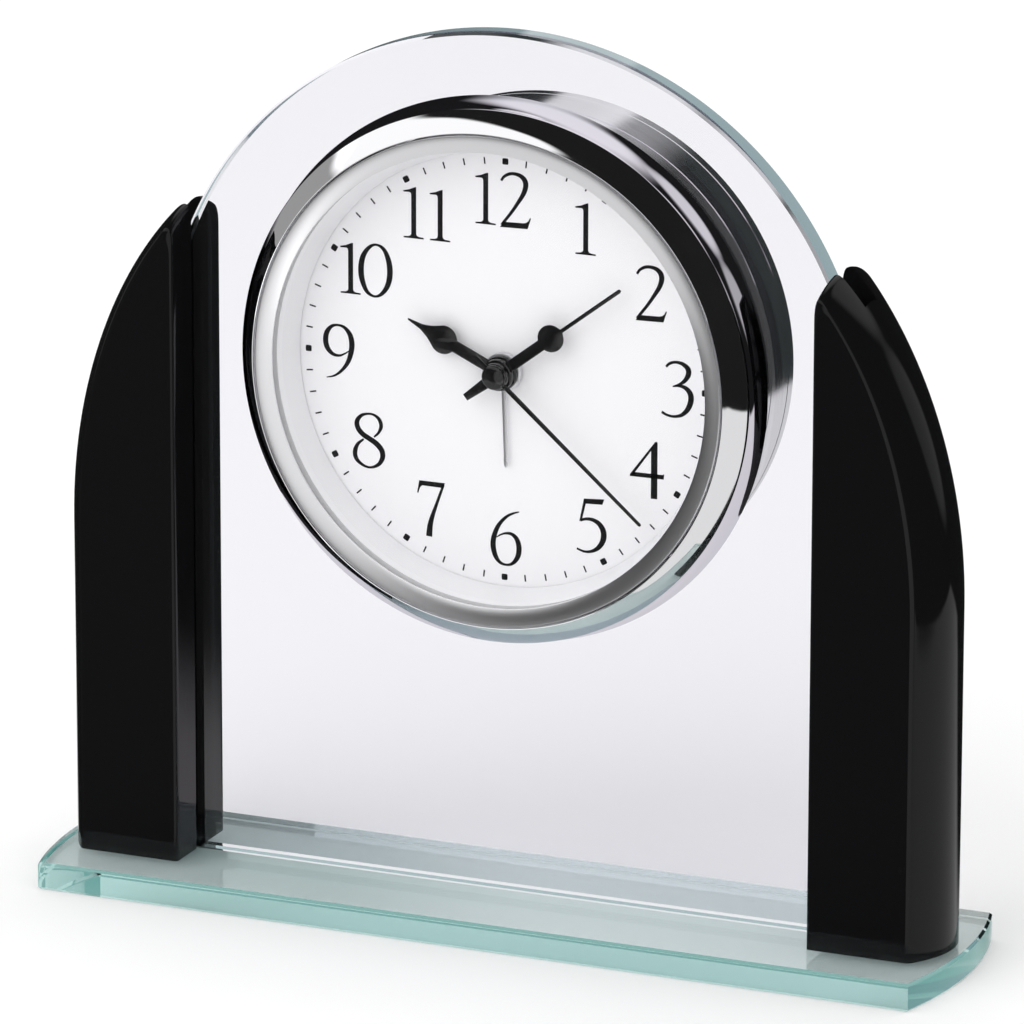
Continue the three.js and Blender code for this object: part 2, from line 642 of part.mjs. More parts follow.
put('hand_cap', turned([
  [0, -9.0], [0.9, -8.95], [1.7, -8.7], [2.2, -8.3], [2.2, -8.1], [0, -8.1],
], 24), BLACK_PAINT);

export default clock;
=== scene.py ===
"""Looks for an alarm clock held in a glass arch between two black columns on a glass base."""
import json
import math

import bmesh
import bpy
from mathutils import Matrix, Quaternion, Vector
from mathutils.geometry import tessellate_polygon


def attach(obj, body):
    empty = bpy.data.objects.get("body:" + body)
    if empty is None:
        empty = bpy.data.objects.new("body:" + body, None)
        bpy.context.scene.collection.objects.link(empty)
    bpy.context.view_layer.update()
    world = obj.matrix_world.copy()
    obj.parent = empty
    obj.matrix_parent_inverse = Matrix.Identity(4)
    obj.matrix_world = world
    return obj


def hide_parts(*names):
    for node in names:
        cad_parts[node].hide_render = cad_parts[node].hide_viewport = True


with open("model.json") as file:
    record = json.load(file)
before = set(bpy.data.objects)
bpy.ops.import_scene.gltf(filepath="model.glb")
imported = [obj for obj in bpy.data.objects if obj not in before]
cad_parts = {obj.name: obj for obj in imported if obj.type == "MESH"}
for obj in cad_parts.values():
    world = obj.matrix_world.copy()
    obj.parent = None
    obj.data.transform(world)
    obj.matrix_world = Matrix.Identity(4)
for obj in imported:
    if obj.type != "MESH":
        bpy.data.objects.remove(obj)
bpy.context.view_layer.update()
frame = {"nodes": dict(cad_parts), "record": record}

# ---------------------------------------------------------------- sizes, in millimetres
MM = 0.001
HEAD_Z = 99.6
BASE_T = 5.0
BASE_HALF_LENGTH = 82.0
BASE_HALF_DEPTH = 20.75
BASE_END_BULGE = 3.0
GLASS_HALF = 2.5
GLASS_EDGE = 0.45
ARCH_R = 65.4
ARCH_Z = 93.3
HOLE_R = 45.3
COLUMN_INNER_X = 59.5
COLUMN_FACE_X = 78.2
COLUMN_HALF_DEPTH = 10.8
COLUMN_BULGE = 4.4
COLUMN_EDGE = 0.55
OGIVE_Z = 65.0
OGIVE_RISE = 70.0
OGIVE_RUN = 45.0
SLOT_HALF = 2.8
SLOT_X = 65.8
CASE_R = 44.2
COVER_R = 42.7
AIR = 0.05
COVER_Y = 23.4
DRUM_REAR = 22.0
GROOVE = 0.16
DIAL_Y = -3.2
HOUR_ANGLE = -65.5
MINUTE_ANGLE = 52.5
SECOND_ANGLE = 130.9
ALARM_ANGLE = 178.0
SIDES = 192
ROOT = "clock"


def polar(radius, degrees):
    angle = math.radians(degrees)
    return (radius * math.cos(angle), radius * math.sin(angle))


def moved(a, b):
    return (a[0] + b[0], a[1] + b[1])


REVERSE_AT = polar(9.6, -15)
TIME_AT = moved(REVERSE_AT, polar(9.6, -20))
ALARM_AT = polar(13.2, 30)
COVER_SCREWS = {"top": polar(38.5, 90), "left": polar(38.5, 198), "right": polar(38.5, -18)}


# ---------------------------------------------------------------- materials
class Look:
    """One node material: a Principled shader with its own fine variation."""

    def __init__(self, name, color, rough, metal=0.0, spec=0.5):
        self.material = bpy.data.materials.new(name)
        self.material.use_nodes = True
        self.tree = self.material.node_tree
        self.shader = self.tree.nodes["Principled BSDF"]
        self.shader.inputs["Base Color"].default_value = (*color, 1)
        self.shader.inputs["Roughness"].default_value = rough
        self.shader.inputs["Metallic"].default_value = metal
        self.shader.inputs["Specular IOR Level"].default_value = spec

    def node(self, kind, **values):
        made = self.tree.nodes.new(kind)
        for key, value in values.items():
            setattr(made, key, value)
        return made

    def link(self, output, socket):
        self.tree.links.new(output, socket)

    def position(self, stretch=(1, 1, 1)):
        """Object coordinates, in metres, stretched so that a pattern may run along one axis."""
        coordinates = self.node("ShaderNodeTexCoord")
        mapping = self.node("ShaderNodeMapping")
        mapping.inputs["Scale"].default_value = stretch
        self.link(coordinates.outputs["Object"], mapping.inputs["Vector"])
        return mapping.outputs["Vector"]

    def noise(self, scale, detail=3.0, stretch=(1, 1, 1)):
        made = self.node("ShaderNodeTexNoise")
        made.inputs["Scale"].default_value = scale
        made.inputs["Detail"].default_value = detail
        self.link(self.position(stretch), made.inputs["Vector"])
        return made.outputs["Fac"]

    def spread(self, value, low, high):
        made = self.node("ShaderNodeMapRange")
        made.inputs["From Min"].default_value = 0.3
        made.inputs["From Max"].default_value = 0.7
        made.inputs["To Min"].default_value = low
        made.inputs["To Max"].default_value = high
        self.link(value, made.inputs["Value"])
        return made.outputs["Result"]

    def vary_roughness(self, scale, low, high, stretch=(1, 1, 1)):
        rough = self.spread(self.noise(scale, 4.0, stretch), low, high)
        self.link(rough, self.shader.inputs["Roughness"])
        return self

    def bump(self, scale, depth, detail=3.0, stretch=(1, 1, 1)):
        made = self.node("ShaderNodeBump")
        made.inputs["Strength"].default_value = 0.6
        made.inputs["Distance"].default_value = depth
        self.link(self.noise(scale, detail, stretch), made.inputs["Height"])
        self.link(made.outputs["Normal"], self.shader.inputs["Normal"])
        return self

    def tint(self, scale, first, second, stretch=(1, 1, 1)):
        made = self.node("ShaderNodeMix", data_type="RGBA")
        made.inputs["A"].default_value = (*first, 1)
        made.inputs["B"].default_value = (*second, 1)
        share = self.spread(self.noise(scale, 2.0, stretch), 0.0, 1.0)
        self.link(share, made.inputs["Factor"])
        self.link(made.outputs["Result"], self.shader.inputs["Base Color"])
        return self


def window(name, share):
    """A clear pane that bends nothing: a faint mirror that is otherwise see-through."""
    look = Look(name, (1, 1, 1), 0.01, metal=1)
    look.shader.inputs["Alpha"].default_value = share
    return look.material


def arithmetic(tree, operation, a, b):
    """A maths node on two sockets or numbers."""
    made = tree.nodes.new("ShaderNodeMath")
    made.operation = operation
    for socket, value in zip(made.inputs, (a, b)):
        if isinstance(value, (int, float)):
            socket.default_value = value
        else:
            tree.links.new(value, socket)
    return made.outputs["Value"]


# How often a ray is followed to and fro inside the base before it is let out.
MOST_TURNS = 3.5


def off_a_mirror(tree):
    """One for a ray whose last turn was at a mirror, not at a face that bent it."""
    rays = tree.nodes.new("ShaderNodeLightPath")
    not_bent = arithmetic(tree, "SUBTRACT", 1.0, rays.outputs["Is Transmission Ray"])
    return arithmetic(tree, "MULTIPLY", rays.outputs["Is Glossy Ray"], not_bent)


def trapped(tree):
    """One for a ray that has been thrown to and fro inside the glass too often to follow."""
    rays = tree.nodes.new("ShaderNodeLightPath")
    return arithmetic(tree, "GREATER_THAN", rays.outputs["Glossy Depth"], MOST_TURNS)


def glass(name, color, absorb, density, unbent):
    """Clear glass, green by thickness, that passes lamps and some other rays straight through."""
    look = Look(name, color, 0.0)
    look.shader.inputs["Transmission Weight"].default_value = 1.0
    look.shader.inputs["IOR"].default_value = 1.5
    clear = look.node("ShaderNodeBsdfTransparent")
    clear.inputs["Color"].default_value = (*color, 1)
    rays = look.node("ShaderNodeLightPath")
    straight = arithmetic(look.tree, "MAXIMUM", rays.outputs["Is Shadow Ray"], unbent(look.tree))
    mix = look.node("ShaderNodeMixShader")
    look.link(straight, mix.inputs["Fac"])
    look.link(look.shader.outputs["BSDF"], mix.inputs[1])
    look.link(clear.outputs["BSDF"], mix.inputs[2])
    output = look.tree.nodes["Material Output"]
    look.link(mix.outputs["Shader"], output.inputs["Surface"])
    body = look.node("ShaderNodeVolumeAbsorption")
    body.inputs["Color"].default_value = (*absorb, 1)
    body.inputs["Density"].default_value = density
    look.link(body.outputs["Volume"], output.inputs["Volume"])
    return look.material


GREEN = (0.02, 0.66, 0.6)
CLEAR_GLASS = glass("clear_glass", (0.9, 0.91, 0.912), GREEN, 14.0, trapped)
ARCH_GLASS = glass("arch_glass", (0.935, 0.9, 0.94), GREEN, 8.0, off_a_mirror)
LENS_GLASS = window("lens_glass", 0.04)
LACQUER = Look("black_lacquer", (0.0048, 0.0048, 0.0052), 0.04, spec=0.2).bump(90, 0.00001).material
CHROME = Look("chrome", (0.87, 0.87, 0.885), 0.035, metal=1).vary_roughness(120, 0.02, 0.05).material
SATIN = Look("satin_metal", (0.8, 0.8, 0.815), 0.3, metal=1).vary_roughness(3000, 0.29, 0.31).material
DRUM = (
    Look("drum_metal", (0.8, 0.8, 0.815), 0.12, metal=1)
    .vary_roughness(60, 0.08, 0.16, (1, 40, 1))
    .bump(60, 0.000004, 2.0, (1, 60, 1))
    .material
)
WHITE = Look("satin_white", (0.86, 0.86, 0.88), 0.45).bump(2500, 0.00001).material
DIAL_WHITE = Look("dial_white", (0.9, 0.895, 0.918), 0.5).bump(3000, 0.000008).material
PRINT = Look("print_black", (0.004, 0.004, 0.005), 0.5, spec=0.2).bump(4000, 0.000004).material
HAND_BLACK = (
    Look("hand_black", (0.006, 0.006, 0.0065), 0.1, spec=0.5)
    .vary_roughness(700, 0.07, 0.14)
    .material
)
HAND_SILVER = Look("hand_silver", (0.7, 0.7, 0.72), 0.3, metal=1).vary_roughness(700, 0.25, 0.4).material
BLACK_PLASTIC = Look("moulded_black", (0.02, 0.02, 0.022), 0.45).bump(2200, 0.00004).material
GREY_PLASTIC = Look("moulded_grey", (0.32, 0.325, 0.34), 0.5).bump(1500, 0.00003).material
NATURAL = Look("acetal", (0.8, 0.77, 0.66), 0.4).bump(900, 0.00002).material
RUBBER = Look("silicone", (0.7, 0.72, 0.72), 0.6).bump(1200, 0.00002).material
STEEL = Look("plated_steel", (0.6, 0.61, 0.63), 0.25, metal=1).vary_roughness(900, 0.18, 0.35).material
BRASS = Look("turned_brass", (0.74, 0.53, 0.22), 0.28, metal=1).vary_roughness(900, 0.2, 0.36).material
COPPER = (
    Look("copper_winding", (0.7, 0.3, 0.13), 0.35, metal=1)
    .bump(60, 0.00008, 1.0, (60, 1, 1))
    .material
)
BOARD = (
    Look("solder_mask", (0.02, 0.13, 0.05), 0.35)
    .tint(300, (0.02, 0.12, 0.05), (0.03, 0.17, 0.07))
    .material
)
CELL = Look("cell_wrap", (0.03, 0.035, 0.05), 0.3).vary_roughness(300, 0.22, 0.38).material

SLOT_LOOKS = {
    "clear_glass": CLEAR_GLASS, "lens_glass": LENS_GLASS, "black_lacquer": LACQUER, "chrome": CHROME,
    "satin_metal": SATIN, "white_paint": WHITE, "dial_print": DIAL_WHITE, "black_paint": HAND_BLACK,
    "steel": STEEL, "black_plastic": BLACK_PLASTIC, "grey_plastic": GREY_PLASTIC,
    "natural_plastic": NATURAL, "clear_rubber": RUBBER, "brass": BRASS, "copper": COPPER,
    "board": BOARD, "cell": CELL,
}


def dress_frame():
    """Gives every CAD node the node material of its record slot."""
    for subpart in frame["record"]["subparts"]:
        shown = frame["nodes"][subpart["node"]]
        shown.data.materials.clear()
        shown.data.materials.append(SLOT_LOOKS[subpart["material_slot"]])


dress_frame()


# ---------------------------------------------------------------- mesh helpers
def add_object(name, vertices, faces, look, body, node=None, slot=None, sharp=35):
    """A closed mesh from millimetre vertices, riding on a body and standing for a CAD node."""
    mesh = bpy.data.meshes.new(name)
    mesh.from_pydata([Vector(v) * MM for v in vertices], [], faces)
    work = bmesh.new()
    work.from_mesh(mesh)
    bmesh.ops.remove_doubles(work, verts=work.verts, dist=1e-7)
    bmesh.ops.dissolve_degenerate(work, edges=work.edges, dist=1e-8)
    bmesh.ops.recalc_face_normals(work, faces=work.faces)
    work.to_mesh(mesh)
    work.free()
    piece = bpy.data.objects.new(name, mesh)
    bpy.context.scene.collection.objects.link(piece)
    shade(piece, sharp)
    mesh.materials.append(look)
    settle(piece, body, node)
    return piece


def shade(piece, sharp):
    piece.data.shade_smooth()
    piece.data.set_sharp_from_angle(angle=math.radians(sharp))


def settle(piece, body, node):
    if body:
        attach(piece, body)
    if node:
        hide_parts(node)


def lathe_data(profile, sides=SIDES, at=(0, 0)):
    """A closed [radius, y] profile turned about the line through at along Y."""
    vertices = []
    rows = []
    for radius, y in profile:
        if radius < 1e-6:
            rows.append([len(vertices)] * sides)
            vertices.append((at[0], y, HEAD_Z + at[1]))
            continue
        rows.append(range(len(vertices), len(vertices) + sides))
        for i in range(sides):
            x, z = moved(at, polar(radius, 360 * i / sides))
            vertices.append((x, y, HEAD_Z + z))
    faces = []
    for j, row in enumerate(rows):
        other = rows[(j + 1) % len(rows)]
        for i in range(sides):
            k = (i + 1) % sides
            corners = list(dict.fromkeys([row[i], row[k], other[k], other[i]]))
            if len(corners) > 2:
                faces.append(corners)
    return vertices, faces


def joined(*parts):
    """Several vertex and face lists as one."""
    vertices = []
    faces = []
    for part_vertices, part_faces in parts:
        start = len(vertices)
        vertices.extend(part_vertices)
        faces.extend([[start + i for i in face] for face in part_faces])
    return vertices, faces


def inset_loop(points, distance):
    """The loop moved to its left by a distance; a counterclockwise loop shrinks."""
    count = len(points)
    moved_points = []
    for i in range(count):
        before = Vector(points[i]) - Vector(points[i - 1])
        after = Vector(points[(i + 1) % count]) - Vector(points[i])
        first = Vector((-before.y, before.x)).normalized()
        second = Vector((-after.y, after.x)).normalized()
        lean = max(0.35, 1 + first.dot(second))
        moved_points.append(tuple(Vector(points[i]) + (first + second) * (distance / lean)))
    return moved_points


def round_rows(low, high, edge, steps=3):
    """Depths and insets of a slab's rows, from its low face to its high face, with rounded edges."""
    rows = []
    for i in range(steps + 1):
        angle = math.pi / 2 * i / steps
        rows.append((low + edge * (1 - math.sin(angle)), edge * (1 - math.cos(angle))))
    rows = rows[::-1]
    return rows + [(low + high - depth, inset) for depth, inset in rows[::-1]]


def slab_data(loops, rows, place):
    """A slab from an outer loop and its holes: rows are (depth, inset), and place puts (u, v, depth)."""
    vertices = []
    faces = []
    caps = {0: [], len(rows) - 1: []}
    for loop_number, loop in enumerate(loops):
        area = sum(p[0] * q[1] - q[0] * p[1] for p, q in zip(loop, loop[1:] + loop[:1]))
        if (area > 0) == (loop_number > 0):
            loop = loop[::-1]
        count = len(loop)
        start = len(vertices)
        for depth, inset in rows:
            ring = inset_loop(loop, inset) if inset else loop
            vertices.extend(place(u, v, depth) for u, v in ring)
        for j in range(len(rows) - 1):
            for i in range(count):
                k = (i + 1) % count
                a, b = start + j * count + i, start + j * count + k
                faces.append([a, b, b + count, a + count])
        for j in caps:
            ring = inset_loop(loop, rows[j][1]) if rows[j][1] else loop
            caps[j].append((start + j * count, ring))
    for rings in caps.values():
        flat = [[Vector((u, v, 0)) for u, v in ring] for _, ring in rings]
        index = [first + i for first, ring in rings for i in range(len(ring))]
        faces.extend([index[i] for i in face] for face in tessellate_polygon(flat))
    return vertices, faces


def on_dial(u, v, depth):
    return (u, depth, HEAD_Z + v)


def circle(radius, sides=SIDES, at=(0, 0)):
    return [moved(at, polar(radius, 360 * i / sides)) for i in range(sides)]


def turned_clockwise(outline, degrees):
    angle = math.radians(degrees)
    cosine, sine = math.cos(angle), math.sin(angle)
    return [(u * cosine + v * sine, v * cosine - u * sine) for u, v in outline]


def smooth_path(points, steps=6, closed=False):
    """Catmull-Rom through points of any dimension."""
    count = len(points)
    spans = count if closed else count - 1
    path = []
    for i in range(spans):
        def at(j):
            return Vector(points[j % count]) if closed else Vector(points[min(max(j, 0), count - 1)])
        before, start, end, after = at(i - 1), at(i), at(i + 1), at(i + 2)
        for k in range(steps):
            t = k / steps
            path.append(0.5 * (
                2 * start + (end - before) * t
                + (2 * before - 5 * start + 4 * end - after) * t * t
                + (3 * start - before - 3 * end + after) * t ** 3
            ))
    if not closed:
        path.append(Vector(points[-1]))
    return path


def boolean_cut(piece, vertices, faces, sharp=35):
    """Cuts a closed mesh out of a piece and keeps the result as the piece's own mesh."""
    tool_mesh = bpy.data.meshes.new("tool")
    tool_mesh.from_pydata([Vector(v) * MM for v in vertices], [], faces)
    work = bmesh.new()
    work.from_mesh(tool_mesh)
    bmesh.ops.recalc_face_normals(work, faces=work.faces)
    work.to_mesh(tool_mesh)
    work.free()
    tool = bpy.data.objects.new("tool", tool_mesh)
    bpy.context.scene.collection.objects.link(tool)
    cut = piece.modifiers.new("cut", "BOOLEAN")
    cut.operation = "DIFFERENCE"
    cut.solver = "EXACT"
    cut.use_self = True
    cut.object = tool
    graph = bpy.context.evaluated_depsgraph_get()
    result = bpy.data.meshes.new_from_object(piece.evaluated_get(graph))
    piece.modifiers.clear()
    old = piece.data
    piece.data = result
    bpy.data.meshes.remove(old)
    bpy.data.objects.remove(tool)
    shade(piece, sharp)


def box_data(x0, x1, y0, y1, z0, z1):
    corners = [(x, y, z) for x in (x0, x1) for y in (y0, y1) for z in (z0, z1)]
    return corners, [[0, 1, 3, 2], [4, 6, 7, 5], [0, 4, 5, 1], [2, 3, 7, 6], [0, 2, 6, 4], [1, 5, 7, 3]]


def head_box(x0, x1, y0, y1, z0, z1):
    return box_data(x0, x1, y0, y1, HEAD_Z + z0, HEAD_Z + z1)


# ---------------------------------------------------------------- glass base and arch
def base_outline():
    half = BASE_HALF_DEPTH
    radius = (half * half + BASE_END_BULGE ** 2) / (2 * BASE_END_BULGE)
    centre = BASE_HALF_LENGTH + BASE_END_BULGE - radius
    sweep = math.asin(half / radius)
    points = []
    steps = 40
    for side in (1, -1):
        for i in range(steps + 1):
            angle = -sweep + 2 * sweep * i / steps
            points.append((side * (centre + radius * math.cos(angle)), side * radius * math.sin(angle)))
    return points


def make_base():
    rows = [(0, GLASS_EDGE), (GLASS_EDGE, 0), (BASE_T - GLASS_EDGE, 0), (BASE_T, GLASS_EDGE)]
    vertices, faces = slab_data([base_outline()], rows, lambda u, v, depth: (u, v, depth))
    add_object("glass_base", vertices, faces, CLEAR_GLASS, ROOT, "base_plate", "clear_glass", sharp=20)


def make_arch():
    outer = [(-ARCH_R, BASE_T + AIR), (ARCH_R, BASE_T + AIR)]
    steps = 144
    outer += [moved((0, ARCH_Z), polar(ARCH_R, 180 * i / steps)) for i in range(steps + 1)]
    outer = [(u, v - HEAD_Z) for u, v in outer]
    rows = [
        (-GLASS_HALF, GLASS_EDGE), (GLASS_EDGE - GLASS_HALF, 0),
        (GLASS_HALF - GLASS_EDGE, 0), (GLASS_HALF, GLASS_EDGE),
    ]
    vertices, faces = slab_data([outer, circle(HOLE_R)], rows, on_dial)
    add_object("glass_arch", vertices, faces, ARCH_GLASS, ROOT, "arch_panel", "clear_glass", sharp=20)


make_base()
make_arch()


# ---------------------------------------------------------------- columns
def column_profile(y, inset):
    """The upright section at one depth: straight inside, curved outside and over the top."""
    across = 1 - (y / COLUMN_HALF_DEPTH) ** 2

    def outer_x(z):
        rise = max(0.0, z - OGIVE_Z) / OGIVE_RISE
        bulge = COLUMN_BULGE - 2 * rise * rise
        return COLUMN_FACE_X + bulge * across - OGIVE_RUN * (1 - math.sqrt(1 - rise * rise)) - inset

    inner_x = COLUMN_INNER_X + inset
    low = OGIVE_Z
    high = OGIVE_Z + OGIVE_RISE - 0.01
    for _ in range(50):
        middle = (low + high) / 2
        if outer_x(middle) > inner_x:
            low = middle
        else:
            high = middle
    top = low - inset
    rounding = 2.6
    foot = BASE_T + AIR
    points = [(outer_x(foot), foot)]
    straight = 8
    for i in range(1, straight):
        z = foot + (OGIVE_Z - foot) * i / straight
        points.append((outer_x(z), z))
    steps = 36
    for i in range(steps + 1):
        z = OGIVE_Z + (top - rounding - OGIVE_Z) * math.sin(i / steps * math.pi / 2)
        points.append((outer_x(z), z))
    start = points[-1]
    turns = 10
    for i in range(1, turns + 1):
        t = i / turns
        x = start[0] * (1 - t) ** 2 + 2 * inner_x * t * (1 - t) + inner_x * t * t
        z = start[1] * (1 - t) ** 2 + 2 * top * t * (1 - t) + (top - 2 * rounding) * t * t
        points.append((x, z))
    points.append((inner_x, foot))
    return points


def make_column(side, name):
    flats = COLUMN_HALF_DEPTH - COLUMN_EDGE
    rounds = 4
    stations = []
    for i in range(rounds):
        angle = math.pi / 2 * i / rounds
        stations.append((-flats - COLUMN_EDGE * math.cos(angle), COLUMN_EDGE * (1 - math.sin(angle))))
    steps = 28
    middle = [(-flats + 2 * flats * i / steps, 0.0) for i in range(steps + 1)]
    stations = stations + middle + [(-y, inset) for y, inset in stations[::-1]]
    vertices = []
    faces = []
    count = 0
    for y, inset in stations:
        profile = column_profile(y, inset)
        count = len(profile)
        vertices.extend((side * x, y, z) for x, z in profile)
    for j in range(len(stations) - 1):
        for i in range(count):
            k = (i + 1) % count
            faces.append([j * count + i, j * count + k, (j + 1) * count + k, (j + 1) * count + i])
    for j in (0, len(stations) - 1):
        flat = [Vector((vertices[j * count + i][0], vertices[j * count + i][2], 0)) for i in range(count)]
        faces.extend([j * count + i for i in face] for face in tessellate_polygon([flat]))
    column = add_object(name + "_lacquered", vertices, faces, LACQUER, None, sharp=30)
    ends = sorted((side * (COLUMN_INNER_X - 5), side * SLOT_X))
    boolean_cut(column, *box_data(*ends, -SLOT_HALF, SLOT_HALF, 0, OGIVE_Z + OGIVE_RISE), sharp=30)
    for face in column.data.polygons:
        if abs(face.normal.y) > 0.999:
            face.use_smooth = False
    settle(column, ROOT, name)


make_column(-1, "left_column")
make_column(1, "right_column")


def cross_outline(reach, half, at=(0, 0)):
    corners = [
        (half, half), (half, reach), (-half, reach), (-half, half), (-reach, half), (-reach, -half),
        (-half, -half), (-half, -reach), (half, -reach), (half, -half), (reach, -half), (reach, half),
    ]
    return [moved(at, corner) for corner in corners]


# ---------------------------------------------------------------- clock head, outside
def make_rings():
    face = smooth_path([(43.75, -12.12), (44.95, -11.07), (46.05, -9.95), (47.1, -8.72)], 6)
    flank = smooth_path([(47.2, -8.4), (47.35, -6.4), (47.75, -4.5), (48.4, -2.9)], 6)
    rim = [(43.6, -11.95), (43.64, -12.06)]
    rim += [tuple(p) for p in face] + [(47.16, -8.6)] + [tuple(p) for p in flank]
    rim += [(48.35, -2.8), (44.6, -2.8), (44.6, -6.3), (43.6, -6.3)]
    add_object("bezel_chrome", *lathe_data(rim, 256), CHROME, ROOT, "bezel", "chrome", sharp=40)
    inner = [
        (40.3, -11.45), (40.4, -11.52), (43.0, -12.13), (43.2, -12.12), (43.3, -12.0), (43.3, -11.1),
        (40.3, -11.1),
    ]
    add_object("lens_ring_satin", *lathe_data(inner, 256), SATIN, ROOT, "lens_ring", "satin_metal")
    lens = [(0, -10.8), (42.9, -10.8), (43.2, -10.5), (43.2, -9.6), (42.9, -9.3), (0, -9.3)]
    add_object("lens_clear", *lathe_data(lens), LENS_GLASS, ROOT, "lens", "lens_glass")
    flange = [(40.4, -9.0), (42.7, -9.0), (42.7, -3.4), (38.6, -3.4), (38.6, -3.8)]
    add_object("rehaut_white", *lathe_data(flange, 256), WHITE, ROOT, "rehaut", "white_paint")
    disc = [(2.8, DIAL_Y), (42.6, DIAL_Y), (42.6, DIAL_Y + 0.5), (2.8, DIAL_Y + 0.5)]
    add_object("dial_disc", *lathe_data(disc, 256), DIAL_WHITE, ROOT, "dial", "dial_print")
    gasket = [(44.5, -2.4), (45.0, -2.4), (45.0, 2.4), (44.5, 2.4)]
    add_object("gasket_ring", *lathe_data(gasket, 256), RUBBER, ROOT, "panel_gasket", "clear_rubber")
    make_drum()


def make_drum():
    """The drum, with shallow grooves turned round it."""
    outline = [(43.0, -6.0), (CASE_R - 0.2, -6.0), (CASE_R, -5.8)]
    for y in (7.2, 11.4, 19.4):
        outline += [(CASE_R, y - GROOVE), (CASE_R - GROOVE, y - 0.05)]
        outline += [(CASE_R - GROOVE, y + 0.05), (CASE_R, y + GROOVE)]
    outline += [(CASE_R, DRUM_REAR - 0.3), (CASE_R - 0.1, DRUM_REAR - 0.1)]
    outline += [(CASE_R - 0.3, DRUM_REAR), (43.0, DRUM_REAR)]
    add_object("drum_turned", *lathe_data(outline, 256), DRUM, ROOT, "drum_case", "chrome", sharp=25)


make_rings()

# ---------------------------------------------------------------- dial print
PRINT_T = 0.03
